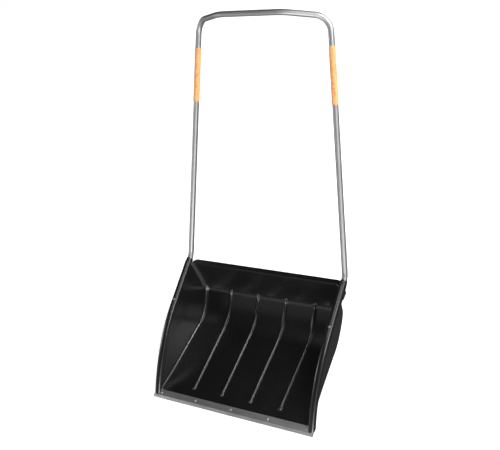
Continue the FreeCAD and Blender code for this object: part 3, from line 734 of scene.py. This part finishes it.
def make_collars(material):
    """Collars on the rails' ends: a narrow lip, a groove and a sleeve that closes in."""
    along = (0, math.cos(RAIL_SLOPE), math.sin(RAIL_SLOPE))
    outline = [(0.05, COLLAR_INNER), (0.05, 13.2), (0.4, 13.7), (1.2, 13.9), (2.4, 13.9),
               (2.8, 13.6), (3.1, 13.1), (3.9, 13.1), (4.2, 13.6), (4.6, 13.9), (8.0, 13.85),
               (12.6, 13.75), (14.4, 13.5), (15.4, 12.9), (15.9, 12.0), (15.9, COLLAR_INNER)]
    x, y, z = rail_point(RAIL_END)
    for side, sign in {"left": -1, "right": 1}.items():
        item = turned("collar_sleeve_" + side, (sign * x, y, z), along, outline)
        finish_piece(item, "collar_plastic", material, "collar_" + side)


def make_pan(material):
    pitch = 1.6
    points, quads, middle = half_surface(pan_field, PAN_HIGH, PAN_LOW, pitch)
    points = settle(pan_field, points, middle, pitch)
    points, quads = mirrored(points, quads, middle)
    _, normals = gradient(pan_field, points)
    normals /= np.maximum(np.linalg.norm(normals, axis=1), 1e-9)[:, None]
    item = new_object("pan_moulding", points, quads, normals)
    finish_piece(item, "pan_plastic", material, "pan")


def dress(nodes, material):
    """Gives CAD nodes a finished material."""
    for node in nodes:
        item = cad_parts[node]
        item.data.materials.clear()
        item.data.materials.append(material)


# --- stage, light and camera --------------------------------------------------------

# Lamps: name, direction from the scoop, distance in m, size in m and power in W.
LIGHT_AIM = Vector((0, 0.1, 0.2))
LIGHTS = [
    ("key_back", (0.66, 0.47, 0.59), 3.6, (1.5, 1.9), 170),
    ("overhead", (0.0, 0.06, 1.0), 3.2, (1.8, 1.0), 20),
    ("side_high", (0.72, -0.04, 0.69), 4.0, (1.3, 1.3), 55),
    ("side_right", (0.92, -0.25, 0.3), 4.0, (2.6, 2.0), 8),
    ("front_low", (0.66, -0.74, 0.1), 4.5, (1.6, 1.0), 150),
    ("front_fill", (0.1, -1.0, 0.12), 4.5, (1.5, 1.1), 120),
    ("front_left", (-0.5, -0.62, 0.6), 4.0, (2.0, 1.4), 2),
    ("left_high", (-0.9, -0.22, 0.38), 4.0, (1.0, 1.0), 32),
]

# The camera, in metres, and the directions to its right and up.
CAMERA_PLACE = Vector((1.68353, -1.18234, 2.65848))
CAMERA_RIGHT = Vector((0.84619638, 0.39468232, -0.35801893))
CAMERA_UP = Vector((-0.09809249, 0.77576054, 0.6233566))
CAMERA_SENSOR, CAMERA_LENS = 36, 61.2


def make_floor():
    """A pale floor that glows a little, and that mirror reflections don't see."""
    bpy.ops.mesh.primitive_plane_add(size=60, location=(0, 0, 0))
    floor = bpy.context.object
    floor.name = "studio_floor"
    shader = Shader("studio_white", Roughness=0.95, Specular_IOR_Level=0.0)
    shader.surface.inputs["Base Color"].default_value = (0.5, 0.5, 0.5, 1)
    shader.surface.inputs["Emission Color"].default_value = (1, 1, 1, 1)
    shader.surface.inputs["Emission Strength"].default_value = 0.8
    floor.data.materials.append(shader.material)
    floor.visible_glossy = False


def softbox(name, direction, distance, size, power):
    """A rectangular lamp that faces the scoop."""
    light = bpy.data.lights.new(name, "AREA")
    light.shape = "RECTANGLE"
    light.size, light.size_y = size
    light.energy = power
    item = bpy.data.objects.new(name, light)
    place = LIGHT_AIM + Vector(direction).normalized() * distance
    item.location = place
    item.rotation_euler = (LIGHT_AIM - place).to_track_quat("-Z", "Y").to_euler()
    bpy.context.scene.collection.objects.link(item)


def make_world():
    """White surroundings: bright low down in front, dim above and behind."""
    world = bpy.data.worlds.new("studio_world")
    world.use_nodes = True
    tree = world.node_tree
    place = tree.nodes.new("ShaderNodeTexCoord")
    split = tree.nodes.new("ShaderNodeSeparateXYZ")
    tree.links.new(place.outputs["Generated"], split.inputs["Vector"])

    def fade(output, ends, levels):
        node = tree.nodes.new("ShaderNodeMapRange")
        node.interpolation_type = "SMOOTHSTEP"
        for key, number in zip(("From Min", "From Max", "To Min", "To Max"), ends + levels):
            node.inputs[key].default_value = number
        tree.links.new(split.outputs[output], node.inputs["Value"])
        return node.outputs["Result"]

    product = tree.nodes.new("ShaderNodeMath")
    product.operation = "MULTIPLY"
    tree.links.new(fade("Z", (0.1, 0.6), (0.7, 0.07)), product.inputs[0])
    tree.links.new(fade("Y", (-0.5, 0.1), (1.0, 0.18)), product.inputs[1])
    background = tree.nodes["Background"]
    background.inputs["Color"].default_value = (1, 1, 1, 1)
    tree.links.new(product.outputs[0], background.inputs["Strength"])
    bpy.context.scene.world = world


def make_camera():
    camera = bpy.data.cameras.new("camera")
    camera.sensor_width = CAMERA_SENSOR
    camera.lens = CAMERA_LENS
    item = bpy.data.objects.new("camera", camera)
    axes = Matrix((CAMERA_RIGHT, CAMERA_UP, CAMERA_RIGHT.cross(CAMERA_UP)))
    item.matrix_world = Matrix.Translation(CAMERA_PLACE) @ axes.transposed().to_4x4()
    bpy.context.scene.collection.objects.link(item)
    bpy.context.scene.camera = item


# --- the scene ----------------------------------------------------------------------

plastic = black_plastic("black_polyethylene")
make_pan(plastic)
make_tube()
make_grips(orange_grip("orange_sleeve"))
make_collars(plastic)
dress(["cutting_edge"], brushed_steel("galvanised_sheet"))
dress(["edge_rivet_%d" % n for n in range(1, 6)], zinc("rivet_zinc", 0.34))
dress([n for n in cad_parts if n.split("_")[0] in ("bolt", "washer", "nut")],
      zinc("bolt_zinc", 0.17))

make_floor()
make_world()
for light in LIGHTS:
    softbox(*light)
make_camera()
bpy.context.scene.view_settings.view_transform = "Standard"
